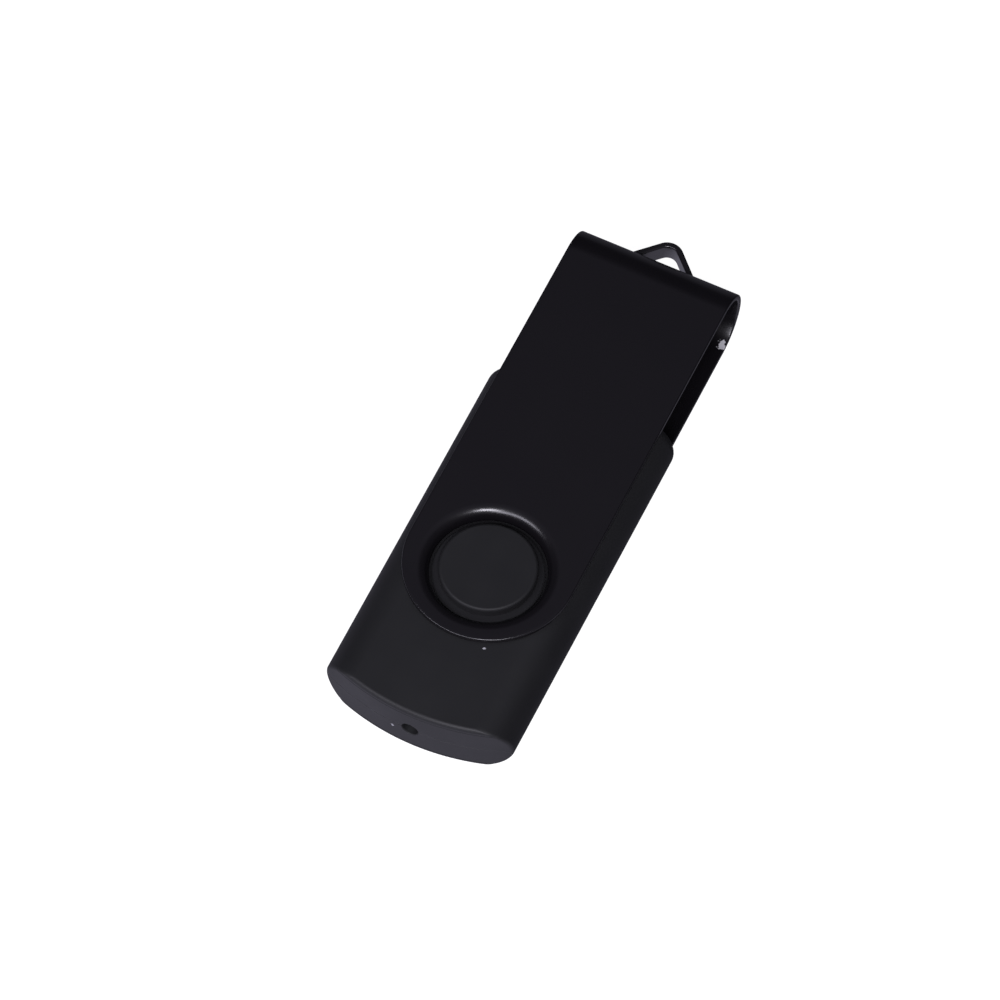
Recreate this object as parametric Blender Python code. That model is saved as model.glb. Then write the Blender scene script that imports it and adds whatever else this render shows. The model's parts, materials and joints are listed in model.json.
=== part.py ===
"""Swivel-cover USB flash drive with its cover closed over the plug.

A plastic case in two halves carries the plug and the circuit board. A sheet-metal
cover, bent into a U, snaps into a round groove about a boss on each face of the
case and turns about both bosses. A strip of its bend, slit free at its long edges
and pushed out into an arch, is the key loop.

Frame: +X runs from the case's rear end to the key loop, +Z is up, and the origin
is under the middle of the whole drive, on the face it lies on.
Every shape is drawn in millimetres from the pivot axis and the case's mid-plane;
MM turns a finished mesh into metres and the parent empties put it in the frame.
"""

import math

import bmesh
import bpy
from mathutils import Vector

MM = 0.001

# Case: two halves that meet at the mid-plane.
CASE_WIDTH = 19.8
CASE_THICKNESS = 6.6
CASE_FRONT = 21.9
CASE_REAR = 17.15
REAR_SAGITTA = 2.1
SIDE_DEPTH = 3.6
EDGE_ROUND = 0.45
FRONT_CORNER = 1.4
REAR_CORNER = 0.5
CASE_WALL = 0.95
PARTING_GAP = 0.04
LED_HOLE_RADIUS = 0.85

# Pivot: a boss with a shoulder at its foot inside a round groove, on each face.
BOSS_RADIUS = 4.78
BOSS_TOP = 3.93
BOSS_ROUND = 0.45
SHOULDER_RADIUS = 5.45
SHOULDER_TOP = 2.85
BOSS_CORE_RADIUS = 3.6
BOSS_CORE_TOP = 2.9
GROOVE_RADIUS = 6.95
GROOVE_FLOOR = 2.3
GROOVE_BACKING = 0.7
GROOVE_SIDE_WALL = 0.8

# Cover: one strip of sheet metal with a half-round bend.
SHEET = 0.6
COVER_WIDTH = 17.0
COVER_HEIGHT = 8.1
COVER_REACH = 39.5
PLATE_END_CENTRE = 0.5
COLLAR_RADIUS = 5.7
COLLAR_ROUND = 1.25
COLLAR_RIM = 2.65

# Key loop: an arched strip with 45 degree flanks and a round tip.
LOOP_CENTRE = 40.47
LOOP_TIP_RADIUS = 1.65
LOOP_HALF_HEIGHT = 1.08
LOOP_ROOT_HALF_WIDTH = 3.0
WINDOW_HALF_WIDTH = 2.95
WINDOW_HALF_HEIGHT = 1.18

# USB-A plug, at its standard section.
PLUG_WIDTH = 12.0
PLUG_HEIGHT = 4.5
PLUG_SHEET = 0.3
PLUG_TIP = 33.9
PLUG_REAR = 17.4
PLUG_CORNER = 0.45
LATCH_FROM_TIP = 5.2
LATCH_LENGTH = 2.5
LATCH_WIDTH = 2.2
LATCH_SPREAD = 2.3
TONGUE_TIP = 33.3
TONGUE_TOP = 0.0
CONTACT_WIDTH = 1.0
CONTACT_SHEET = 0.2

# Circuit board and the heights of what is soldered to it.
BOARD_TOP = 0.25
BOARD_THICKNESS = 0.8
BOARD_FRONT = 16.5
BOARD_REAR = 14.2
BOARD_HALF_WIDTH = 6.8
BOARD_NOTCH_START = 15.0
BOARD_NOTCH_HALF_WIDTH = 5.6
SOLDER_GAP = 0.03

# Posts and ribs inside the case.
RIB_XS = (-11.0, 13.6)
RIB_LENGTH = 1.2
RIB_INNER = 6.25
RIB_OUTER = 8.2
RIB_ROOT = 2.55
PEG_PLACES = ((-7.2, 7.95), (-7.2, -7.95), (10.2, 7.95), (10.2, -7.95))
PEG_RADIUS = 0.5
PEG_HEIGHT = 0.8
SOCKET_RADIUS = 1.0
SOCKET_BORE = 0.6
SOCKET_DEPTH = 1.1
SOCKET_ROOT = 1.6

# How finely round shapes are divided.
ROUND_STEPS = 40
BEND_STEPS = 20
CASE_LEVELS = 9
REAR_STEPS = 10
CORNER_STEPS = 4

LOOP_TIP = LOOP_CENTRE + LOOP_TIP_RADIUS
PIVOT_X = (CASE_REAR - LOOP_TIP) / 2
MID_HEIGHT = COVER_HEIGHT / 2
CASE_HALF = CASE_THICKNESS / 2
BOARD_BOTTOM = BOARD_TOP - BOARD_THICKNESS


# Outlines -----------------------------------------------------------------------

def rounded_outline(corners, steps=CORNER_STEPS):
    """A closed outline through corners (x, y, radius), each turned into an arc."""
    outline = []
    for i, (x, y, radius) in enumerate(corners):
        corner = Vector((x, y))
        if not radius:
            outline.append((x, y))
            continue
        to_last = (Vector(corners[i - 1][:2]) - corner).normalized()
        to_next = (Vector(corners[(i + 1) % len(corners)][:2]) - corner).normalized()
        half_angle = to_last.angle(to_next) / 2
        centre = corner + (to_last + to_next).normalized() * radius / math.sin(half_angle)
        start = corner + to_last * radius / math.tan(half_angle) - centre
        end = corner + to_next * radius / math.tan(half_angle) - centre
        turn = math.atan2(start.cross(end), start.dot(end))
        first = math.atan2(start.y, start.x)
        for step in range(steps + 1):
            angle = first + turn * step / steps
            outline.append(
                (centre.x + radius * math.cos(angle), centre.y + radius * math.sin(angle))
            )
    return outline


def rectangle(half_x, half_y, radius=0.0, steps=CORNER_STEPS):
    signs = ((1, -1), (1, 1), (-1, 1), (-1, -1))
    return rounded_outline([(sx * half_x, sy * half_y, radius) for sx, sy in signs], steps)


def circle(radius, steps=ROUND_STEPS):
    turns = [math.tau * i / steps for i in range(steps)]
    return [(radius * math.cos(turn), radius * math.sin(turn)) for turn in turns]


def case_outline(height, inset=0.0):
    """The case's outline at a height above the mid-plane, moved in by a wall."""
    half_thickness = CASE_HALF - inset
    side_depth = SIDE_DEPTH - inset
    share = min(height / half_thickness, 1.0)
    side = CASE_WIDTH / 2 - inset - side_depth * (1 - math.sqrt(1 - share**2))
    into_round = max(height - (half_thickness - EDGE_ROUND), 0.0)
    end_inset = inset + EDGE_ROUND - math.sqrt(max(EDGE_ROUND**2 - into_round**2, 0.0))
    front = CASE_FRONT - end_inset
    arc_radius = (CASE_WIDTH**2 / 4 + REAR_SAGITTA**2) / (2 * REAR_SAGITTA)

    def rear_at(y):
        return end_inset - CASE_REAR + arc_radius - math.sqrt(arc_radius**2 - y**2)

    corners = [(front, -side, FRONT_CORNER), (front, side, FRONT_CORNER)]
    for step in range(REAR_STEPS + 1):
        y = side * (1 - 2 * step / REAR_STEPS)
        corner = REAR_CORNER if step in (0, REAR_STEPS) else 0.0
        corners.append((rear_at(y), y, corner))
    return rounded_outline(corners)


# Solids -------------------------------------------------------------------------

def along_x(u, v, w):
    return (w, u, v)


def along_y(u, v, w):
    return (u, w, v)


def along_z(u, v, w):
    return (u, v, w)


def add_loft(mesh, rings):
    """A closed solid through rings with the same number of points, capped at its ends."""
    loops = [[mesh.verts.new(point) for point in ring] for ring in rings]
    for lower, upper in zip(loops, loops[1:]):
        for i in range(len(lower)):
            j = (i + 1) % len(lower)
            mesh.faces.new((lower[i], lower[j], upper[j], upper[i]))
    mesh.faces.new(loops[0][::-1])
    mesh.faces.new(loops[-1])


def add_prism(mesh, outline, start, end, place=along_z):
    rings = [[place(u, v, w) for u, v in outline] for w in (start, end)]
    add_loft(mesh, rings)


def add_box(mesh, low, high):
    outline = [(low[0], low[1]), (high[0], low[1]), (high[0], high[1]), (low[0], high[1])]
    add_prism(mesh, outline, low[2], high[2])


def add_cylinder(mesh, radius, low, high, centre=(0.0, 0.0), steps=ROUND_STEPS):
    outline = [(centre[0] + x, centre[1] + y) for x, y in circle(radius, steps)]
    add_prism(mesh, outline, low, high)


def add_stack(mesh, levels):
    """Rounded rectangles (height, half length, half width, radius) joined upwards."""
    rings = []
    for height, half_x, half_y, radius in levels:
        rings.append([(x, y, height) for x, y in rectangle(half_x, half_y, radius, 2)])
    add_loft(mesh, rings)


# Objects ------------------------------------------------------------------------

def clear_scene():
    for old in list(bpy.data.objects):
        bpy.data.objects.remove(old, do_unlink=True)


def make_material(name, colour, roughness, metallic=0.0):
    material = bpy.data.materials.new(name)
    material.use_nodes = True
    shader = material.node_tree.nodes["Principled BSDF"]
    shader.inputs["Base Color"].default_value = (*colour, 1.0)
    shader.inputs["Roughness"].default_value = roughness
    shader.inputs["Metallic"].default_value = metallic
    return material


def make_empty(name, location, parent=None):
    empty = bpy.data.objects.new(name, None)
    bpy.context.scene.collection.objects.link(empty)
    empty.location = Vector(location) * MM
    empty.parent = parent
    empty.empty_display_size = 2 * MM
    return empty


def make_object(name, mesh, material=None, parent=None, location=(0, 0, 0), closed=True):
    if closed:
        bmesh.ops.recalc_face_normals(mesh, faces=mesh.faces)
    bmesh.ops.scale(mesh, vec=(MM, MM, MM), verts=mesh.verts)
    data = bpy.data.meshes.new(name)
    mesh.to_mesh(data)
    mesh.free()
    data.shade_smooth()
    data.set_sharp_from_angle(angle=math.radians(35))
    if material:
        data.materials.append(material)
    part = bpy.data.objects.new(name, data)
    bpy.context.scene.collection.objects.link(part)
    part.parent = parent
    part.location = Vector(location) * MM
    return part


def make_helper(name, mesh, parent):
    """A shape that only takes part in a Boolean."""
    helper = make_object(name, mesh, parent=parent)
    helper.hide_render = True
    helper.display_type = "WIRE"
    return helper


def combine(part, operation, helper):
    modifier = part.modifiers.new(f"{operation.lower()} {helper.name}", "BOOLEAN")
    modifier.operation = operation
    modifier.object = helper
    modifier.solver = "EXACT"


# Case ---------------------------------------------------------------------------

def boss_profile():
    """The boss from inside the groove's floor up, as (radius, height)."""
    lead_in, round_steps = 0.15, 3
    profile = [
        (SHOULDER_RADIUS, GROOVE_FLOOR - GROOVE_BACKING / 2),
        (SHOULDER_RADIUS, SHOULDER_TOP - lead_in),
        (SHOULDER_RADIUS - lead_in, SHOULDER_TOP),
        (BOSS_RADIUS, SHOULDER_TOP),
    ]
    for step in range(round_steps + 1):
        turn = math.pi / 2 * step / round_steps
        radius = BOSS_RADIUS - BOSS_ROUND * (1 - math.cos(turn))
        profile.append((radius, BOSS_TOP - BOSS_ROUND * (1 - math.sin(turn))))
    return profile


def make_case_half(name, side, materials, frame):
    """The upper half with side 1, and the lower half, its mirror image, with side -1."""

    def facing(mesh):
        bmesh.ops.scale(mesh, vec=(1, 1, side), verts=mesh.verts)
        return mesh

    def case_rings(inset, lowest):
        heights = [lowest]
        for level in range(1, CASE_LEVELS + 1):
            heights.append((CASE_HALF - inset) * math.sin(math.pi / 2 * level / CASE_LEVELS))
        return [[(x, y, z) for x, y in case_outline(max(z, 0), inset)] for z in heights]

    outside = bmesh.new()
    add_loft(outside, case_rings(0, PARTING_GAP / 2))
    half = make_object(name, facing(outside), materials["case"], frame)

    cavity = bmesh.new()
    add_loft(cavity, case_rings(CASE_WALL, -1))
    combine(half, "DIFFERENCE", make_helper(f"{name}.cavity", facing(cavity), frame))

    backing = bmesh.new()
    backing_top = CASE_HALF - CASE_WALL / 2
    add_cylinder(
        backing, GROOVE_RADIUS + GROOVE_SIDE_WALL, GROOVE_FLOOR - GROOVE_BACKING, backing_top
    )
    combine(half, "UNION", make_helper(f"{name}.backing", facing(backing), frame))

    groove = bmesh.new()
    add_cylinder(groove, GROOVE_RADIUS, GROOVE_FLOOR, CASE_HALF + 1)
    combine(half, "DIFFERENCE", make_helper(f"{name}.groove", facing(groove), frame))

    boss = bmesh.new()
    add_loft(boss, [[(x, y, z) for x, y in circle(radius)] for radius, z in boss_profile()])
    combine(half, "UNION", make_helper(f"{name}.boss", facing(boss), frame))

    core = bmesh.new()
    add_cylinder(core, BOSS_CORE_RADIUS, 0, BOSS_CORE_TOP)
    combine(half, "DIFFERENCE", make_helper(f"{name}.core", facing(core), frame))

    inside = bmesh.new()
    add_ribs(inside, side)
    add_posts(inside, side)
    combine(half, "UNION", make_helper(f"{name}.inside", facing(inside), frame))

    openings = bmesh.new()
    add_openings(openings, side)
    combine(half, "DIFFERENCE", make_helper(f"{name}.openings", facing(openings), frame))
    return half


def add_ribs(mesh, side):
    """Four ribs that hold the board's edges, from above or from below."""
    board_face = BOARD_TOP if side > 0 else -BOARD_BOTTOM
    for x in RIB_XS:
        for hand in (1, -1):
            ys = sorted((hand * RIB_INNER, hand * RIB_OUTER))
            low = (x - RIB_LENGTH / 2, ys[0], board_face + SOLDER_GAP)
            add_box(mesh, low, (x + RIB_LENGTH / 2, ys[1], RIB_ROOT))


def add_posts(mesh, side):
    """Sockets in the upper half, and in the lower half the pegs that stand in them."""
    for centre in PEG_PLACES:
        if side > 0:
            add_cylinder(mesh, SOCKET_RADIUS, PARTING_GAP / 2, SOCKET_ROOT, centre, 12)
        else:
            add_cylinder(mesh, PEG_RADIUS, -PEG_HEIGHT, SOCKET_ROOT, centre, 12)


def add_openings(mesh, side):
    """The plug's mouth, the lamp's hole and, in the upper half, the socket bores."""
    mouth = 0.05
    low = (CASE_FRONT - 2, -PLUG_WIDTH / 2 - mouth, -1)
    add_box(mesh, low, (CASE_FRONT + 1, PLUG_WIDTH / 2 + mouth, PLUG_HEIGHT / 2 + mouth))
    add_prism(mesh, circle(LED_HOLE_RADIUS, 20), -CASE_REAR - 1, -CASE_REAR + 2, along_x)
    if side > 0:
        for centre in PEG_PLACES:
            add_cylinder(mesh, SOCKET_BORE, -1, SOCKET_DEPTH, centre, 12)


# Cover --------------------------------------------------------------------------

def plate_edge(angle):
    """Where a ray from the pivot leaves the square-fronted, round-ended plate zone."""
    half = COVER_WIDTH / 2
    x, y = math.cos(angle), math.sin(angle)
    if abs(x) >= abs(y) - 1e-9 and x > 0:
        return (half, half * y / x)
    if x > 0 and half * x / abs(y) >= PLATE_END_CENTRE:
        return (half * x / abs(y), math.copysign(half, y))
    along = PLATE_END_CENTRE * x
    reach = along + math.sqrt(along**2 - PLATE_END_CENTRE**2 + half**2)
    return (reach * x, reach * y)


def collar_profile(steps=6):
    """The outer face from the collar's rim up to the flat plate, as (radius, height)."""
    profile = [(COLLAR_RADIUS, COLLAR_RIM)]
    for step in range(steps + 1):
        turn = math.pi / 2 * step / steps
        radius = COLLAR_RADIUS + COLLAR_ROUND * (1 - math.cos(turn))
        profile.append((radius, MID_HEIGHT - COLLAR_ROUND * (1 - math.sin(turn))))
    return profile


def add_plate_zone(mesh, side):
    """The collared zone about the pivot. Returns the vertices along its square front."""
    angles = [math.tau * i / ROUND_STEPS for i in range(ROUND_STEPS)]
    rings = []
    for radius, z in collar_profile():
        ring = [(radius * math.cos(a), radius * math.sin(a), side * z) for a in angles]
        rings.append([mesh.verts.new(point) for point in ring])
    edge = [plate_edge(angle) for angle in angles]
    rings.append([mesh.verts.new((x, y, side * MID_HEIGHT)) for x, y in edge])
    for inner, outer in zip(rings, rings[1:]):
        for i in range(ROUND_STEPS):
            j = (i + 1) % ROUND_STEPS
            face = (inner[i], outer[i], outer[j], inner[j])
            mesh.faces.new(face[::side])
    eighth = ROUND_STEPS // 8
    return [rings[-1][i % ROUND_STEPS] for i in range(-eighth, eighth + 1)]


def make_cover_skin():
    """The outer face of the whole strip, with its normals facing out."""
    skin = bmesh.new()
    rows = [add_plate_zone(skin, 1)]
    columns = [vertex.co.y for vertex in rows[0]]
    bend_centre = COVER_REACH - MID_HEIGHT
    for step in range(BEND_STEPS + 1):
        angle = math.pi / 2 - math.pi * step / BEND_STEPS
        x = bend_centre + MID_HEIGHT * math.cos(angle)
        z = MID_HEIGHT * math.sin(angle)
        rows.append([skin.verts.new((x, y, z)) for y in columns])
    rows.append(add_plate_zone(skin, -1))
    for near, far in zip(rows, rows[1:]):
        for i in range(len(columns) - 1):
            skin.faces.new((near[i], far[i], far[i + 1], near[i + 1]))
    return skin


def loop_path(offset, start):
    """One edge of the loop's band seen from above, moved in by an offset."""
    tip_radius = LOOP_TIP_RADIUS - offset
    root = LOOP_CENTRE + tip_radius * math.sqrt(2) - start
    path = [(start, -root)]
    tip_steps = 10
    for step in range(tip_steps + 1):
        angle = math.radians(-45 + 90 * step / tip_steps)
        x = LOOP_CENTRE + tip_radius * math.cos(angle)
        path.append((x, tip_radius * math.sin(angle)))
    path.append((start, root))
    return path


def make_cover(materials, frame):
    cover = make_object("swivel_cover", make_cover_skin(), materials["cover"], frame, closed=False)
    sheet = cover.modifiers.new("sheet", "SOLIDIFY")
    sheet.thickness = SHEET * MM
    sheet.offset = -1
    sheet.use_even_offset = True

    window = bmesh.new()
    low = (COVER_REACH - 2, -WINDOW_HALF_WIDTH, -WINDOW_HALF_HEIGHT)
    add_box(window, low, (COVER_REACH + 1, WINDOW_HALF_WIDTH, WINDOW_HALF_HEIGHT))
    combine(cover, "DIFFERENCE", make_helper("swivel_cover.window", window, frame))

    arch = bmesh.new()
    inner_diagonal = LOOP_CENTRE + (LOOP_TIP_RADIUS - SHEET) * math.sqrt(2)
    start = inner_diagonal - LOOP_ROOT_HALF_WIDTH
    band = loop_path(0, start) + loop_path(SHEET, start)[::-1]
    add_prism(arch, band, -LOOP_HALF_HEIGHT, LOOP_HALF_HEIGHT)
    combine(cover, "UNION", make_helper("swivel_cover.arch", arch, frame))


# Plug ---------------------------------------------------------------------------

def make_plug_shell(materials, frame):
    tube = bmesh.new()
    taper = 0.25
    rings = []
    for x, inset in ((PLUG_REAR, 0), (PLUG_TIP - 3 * taper, 0), (PLUG_TIP, taper / 2)):
        outline = rectangle(PLUG_WIDTH / 2 - inset, PLUG_HEIGHT / 2 - inset, PLUG_CORNER)
        rings.append([(x, y, z) for y, z in outline])
    add_loft(tube, rings)
    shell = make_object("plug_shell", tube, materials["plug"], frame)

    hollow = bmesh.new()
    outline = rectangle(
        PLUG_WIDTH / 2 - PLUG_SHEET, PLUG_HEIGHT / 2 - PLUG_SHEET, PLUG_CORNER - PLUG_SHEET
    )
    add_prism(hollow, outline, PLUG_REAR - 1, PLUG_TIP + 1, along_x)
    combine(shell, "DIFFERENCE", make_helper("plug_shell.hollow", hollow, frame))

    windows = bmesh.new()
    latch_end = PLUG_TIP - LATCH_FROM_TIP
    for y in (-LATCH_SPREAD, LATCH_SPREAD):
        low = (latch_end - LATCH_LENGTH, y - LATCH_WIDTH / 2, -PLUG_HEIGHT)
        add_box(windows, low, (latch_end, y + LATCH_WIDTH / 2, PLUG_HEIGHT))
    combine(shell, "DIFFERENCE", make_helper("plug_shell.windows", windows, frame))

    tabs = bmesh.new()
    tab_length, tab_half_height = 1.9, 0.9
    for hand in (1, -1):
        ys = sorted((hand * (PLUG_WIDTH / 2 - PLUG_SHEET + 0.03), hand * (PLUG_WIDTH / 2 - 0.03)))
        low = (PLUG_REAR - tab_length, ys[0], -tab_half_height)
        add_box(tabs, low, (PLUG_REAR + 0.4, ys[1], tab_half_height))
    combine(shell, "UNION", make_helper("plug_shell.tabs", tabs, frame))


CONTACTS = {
    "contact_power": (-3.5, 32.4),
    "contact_data_minus": (-1.0, 31.4),
    "contact_data_plus": (1.0, 31.4),
    "contact_ground": (3.5, 32.4),
}
CONTACT_TOP = TONGUE_TOP + 0.03
TAIL_START = 15.2
SLOT_GAP = 0.03


def make_plug_insulator(materials, frame):
    block = bmesh.new()
    base = PLUG_SHEET + 0.05 - PLUG_HEIGHT / 2
    rear, block_front, half_width = PLUG_REAR + 0.1, 22.3, PLUG_WIDTH / 2 - PLUG_SHEET - 0.05
    outline = [
        (rear, base),
        (TONGUE_TIP, base),
        (TONGUE_TIP, TONGUE_TOP),
        (block_front, TONGUE_TOP),
        (block_front, -base),
        (rear, -base),
    ]
    add_prism(block, outline, -half_width, half_width, along_y)
    insulator = make_object("plug_insulator", block, materials["insulator"], frame)

    slots = bmesh.new()
    for y, tip in CONTACTS.values():
        reach = CONTACT_WIDTH / 2 + SLOT_GAP
        low = (PLUG_REAR - 1, y - reach, CONTACT_TOP - CONTACT_SHEET - SLOT_GAP)
        add_box(slots, low, (tip + SLOT_GAP, y + reach, CONTACT_TOP + SLOT_GAP))
    combine(insulator, "DIFFERENCE", make_helper("plug_insulator.slots", slots, frame))


def make_contacts(materials, frame):
    """Flat springs on the tongue whose tails step up onto the board's pads."""
    tail_low = BOARD_TOP + SOLDER_GAP
    tail_high = tail_low + CONTACT_SHEET
    blade_low = CONTACT_TOP - CONTACT_SHEET
    for name, (y, tip) in CONTACTS.items():
        blade = bmesh.new()
        outline = [
            (tip, blade_low),
            (tip, CONTACT_TOP),
            (PLUG_REAR - 0.2, CONTACT_TOP),
            (PLUG_REAR - 0.6, tail_high),
            (TAIL_START, tail_high),
            (TAIL_START, tail_low),
            (PLUG_REAR - 0.7, tail_low),
            (PLUG_REAR - 0.3, blade_low),
        ]
        add_prism(blade, outline, -CONTACT_WIDTH / 2, CONTACT_WIDTH / 2, along_y)
        make_object(name, blade, materials["gold"], frame, (0, y, 0))


def make_solder_joints(materials, frame):
    """A fillet behind each contact's tail and beside each of the shell's two tabs."""
    foot = BOARD_TOP + SOLDER_GAP
    for name, (y, _) in CONTACTS.items():
        fillet = bmesh.new()
        back = TAIL_START - SOLDER_GAP
        outline = [(back - 0.75, foot), (back, foot), (back, foot + 0.2), (back - 0.2, foot + 0.16)]
        add_prism(fillet, outline, -CONTACT_WIDTH / 2, CONTACT_WIDTH / 2, along_y)
        pad = name.replace("contact_", "")
        make_object(f"solder_{pad}", fillet, materials["solder"], frame, (0, y, 0))
    for hand, word in ((1, "left"), (-1, "right")):
        fillet = bmesh.new()
        tab_face = PLUG_WIDTH / 2 - PLUG_SHEET
        outline = [(5.0, foot), (tab_face, foot), (tab_face, 0.85), (tab_face - 0.2, 0.6)]
        mirrored = [(hand * y, z) for y, z in outline]
        add_prism(fillet, mirrored, 15.6, 16.4, along_x)
        make_object(f"solder_shell_{word}", fillet, materials["solder"], frame)


# Board --------------------------------------------------------------------------

def make_board(materials, frame):
    board = bmesh.new()
    notch = BOARD_HALF_WIDTH - BOARD_NOTCH_HALF_WIDTH
    half = [
        (BOARD_FRONT, BOARD_NOTCH_HALF_WIDTH),
        (BOARD_NOTCH_START, BOARD_NOTCH_HALF_WIDTH),
        (BOARD_NOTCH_START, BOARD_NOTCH_HALF_WIDTH + notch),
        (-BOARD_REAR + 0.8, BOARD_HALF_WIDTH),
        (-BOARD_REAR, BOARD_HALF_WIDTH - 0.8),
    ]
    outline = half + [(x, -y) for x, y in reversed(half)]
    add_prism(board, outline, BOARD_BOTTOM, BOARD_TOP)
    make_object("circuit_board", board, materials["board"], frame)


def add_lead(mesh, turn, offset, package_half, reach, top, width):
    """One gull-wing lead, drawn towards +X from z = 0 and turned about the package."""
    thick = 0.12
    knee, heel = 0.25 * reach, 0.55 * reach
    profile = [
        (-0.3, top),
        (knee, top),
        (heel, thick),
        (reach, thick),
        (reach, 0),
        (heel - thick, 0),
        (knee - thick, top - thick),
        (-0.3, top - thick),
    ]
    cos, sin = round(math.cos(turn)), round(math.sin(turn))

    def place(u, v, w):
        along, across = package_half + u, offset + w
        return (cos * along - sin * across, sin * along + cos * across, v)

    add_prism(mesh, profile, -width / 2, width / 2, place)


def make_leaded_chip(name, size, leads, on_top, location, materials, frame):
    """A moulded package with leads: {quarter turn: (count, pitch, reach, width)}."""
    length, width, height = size
    standoff, draft = 0.05, 0.08
    package = bmesh.new()
    levels = [
        (standoff, length / 2 - draft, width / 2 - draft, 0.15),
        (standoff + height / 2, length / 2, width / 2, 0.15),
        (standoff + height, length / 2 - draft, width / 2 - draft, 0.15),
    ]
    add_stack(package, levels)
    legs = bmesh.new()
    for quarter, (count, pitch, reach, lead_width) in leads.items():
        half = length / 2 if quarter % 2 == 0 else width / 2
        for i in range(count):
            offset = pitch * (i - (count - 1) / 2)
            turn = quarter * math.pi / 2
            add_lead(legs, turn, offset, half, reach, standoff + height / 2, lead_width)
    face = 1 if on_top else -1
    for mesh in (package, legs):
        bmesh.ops.scale(mesh, vec=(1, 1, face), verts=mesh.verts)
    x, y = location
    z = BOARD_TOP + SOLDER_GAP if on_top else BOARD_BOTTOM - SOLDER_GAP
    chip = make_object(name, package, materials["chip"], frame, (x, y, z))
    helper = make_helper(f"{name}.leads", legs, frame)
    helper.location = chip.location
    combine(chip, "UNION", helper)


def make_stacked(name, levels, material, on_top, location, frame, quarter=0):
    """A small soldered component made of rounded rectangles, one above the other."""
    mesh = bmesh.new()
    add_stack(mesh, levels)
    face = 1 if on_top else -1
    bmesh.ops.scale(mesh, vec=(1, 1, face), verts=mesh.verts)
    x, y = location
    z = BOARD_TOP + SOLDER_GAP if on_top else BOARD_BOTTOM - SOLDER_GAP
    part = make_object(name, mesh, material, frame, (x, y, z))
    part.rotation_euler.z = quarter * math.pi / 2
    return part


def make_chip_component(name, size, material, on_top, location, frame, quarter=0):
    """A brick with a slightly larger metal cap at each end."""
    length, width, height = size
    cap, proud = 0.2 * length, 0.03
    rings = []
    stations = (
        (-length / 2, 0),
        (-length / 2 + cap, 0),
        (-length / 2 + cap, proud),
        (length / 2 - cap, proud),
        (length / 2 - cap, 0),
        (length / 2, 0),
    )
    for x, inset in stations:
        y, low, high = width / 2 - inset, inset, height - inset
        rings.append([(x, -y, low), (x, y, low), (x, y, high), (x, -y, high)])
    mesh = bmesh.new()
    add_loft(mesh, rings)
    face = 1 if on_top else -1
    bmesh.ops.scale(mesh, vec=(1, 1, face), verts=mesh.verts)
    x, y = location
    z = BOARD_TOP + SOLDER_GAP if on_top else BOARD_BOTTOM - SOLDER_GAP
    part = make_object(name, mesh, material, frame, (x, y, z))
    part.rotation_euler.z = quarter * math.pi / 2


def make_electronics(materials, frame):
    make_leaded_chip(
        "flash_memory_chip", (18.4, 12.0, 1.0),
        {0: (24, 0.5, 0.8, 0.22), 2: (24, 0.5, 0.8, 0.22)},
        True, (2.4, 0), materials, frame,
    )
    side = (12, 0.5, 1.0, 0.22)
    make_leaded_chip(
        "controller_chip", (7.0, 7.0, 1.3),
        {0: side, 1: side, 2: side, 3: side},
        False, (11.6, 0), materials, frame,
    )
    make_leaded_chip(
        "voltage_regulator", (1.6, 2.9, 1.1),
        {0: (2, 1.9, 0.6, 0.4), 2: (3, 0.95, 0.6, 0.4)},
        True, (-11.2, 4.1), materials, frame,
    )
    crystal = [(0, 2.5, 1.6, 0.2), (0.3, 2.5, 1.6, 0.2), (0.3, 2.2, 1.3, 0.3),
               (0.7, 2.2, 1.3, 0.3), (0.8, 2.1, 1.2, 0.2)]
    make_stacked("crystal_can", crystal, materials["can"], False, (2.6, 0), frame, 1)
    lamp = [(0, 0.8, 0.4, 0.05), (0.2, 0.8, 0.4, 0.05), (0.2, 0.55, 0.36, 0.1),
            (0.55, 0.5, 0.32, 0.12)]
    make_stacked("status_led", lamp, materials["led"], True, (-13.4, 0), frame, 1)
    for name, (size, kind, on_top, place, quarter) in CHIP_COMPONENTS.items():
        make_chip_component(name, size, materials[kind], on_top, place, frame, quarter)


CASE_0603 = (1.6, 0.8, 0.8)
CASE_0603_THIN = (1.6, 0.8, 0.45)
CASE_0805 = (2.0, 1.25, 0.9)
CHIP_COMPONENTS = {
    "input_capacitor": (CASE_0805, "ceramic", True, (-11.4, -4.4), 0),
    "output_capacitor": (CASE_0805, "ceramic", True, (-11.4, -2.4), 0),
    "flash_capacitor": (CASE_0603, "ceramic", False, (-3.4, 4.2), 0),
    "core_capacitor": (CASE_0603, "ceramic", False, (-3.4, 2.4), 0),
    "crystal_capacitor_left": (CASE_0603, "ceramic", False, (4.8, 4.0), 0),
    "crystal_capacitor_right": (CASE_0603, "ceramic", False, (4.8, -4.0), 0),
    "data_resistor_plus": (CASE_0603_THIN, "resistor", True, (14.0, 5.4), 1),
    "data_resistor_minus": (CASE_0603_THIN, "resistor", True, (14.0, -5.4), 1),
    "led_resistor": (CASE_0603_THIN, "resistor", True, (-13.2, -5.6), 0),
    "pull_up_resistor": (CASE_0603_THIN, "resistor", False, (-3.4, -3.4), 0),
    "ferrite_bead": (CASE_0805, "ferrite", False, (-7.0, 0.0), 0),
}


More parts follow.
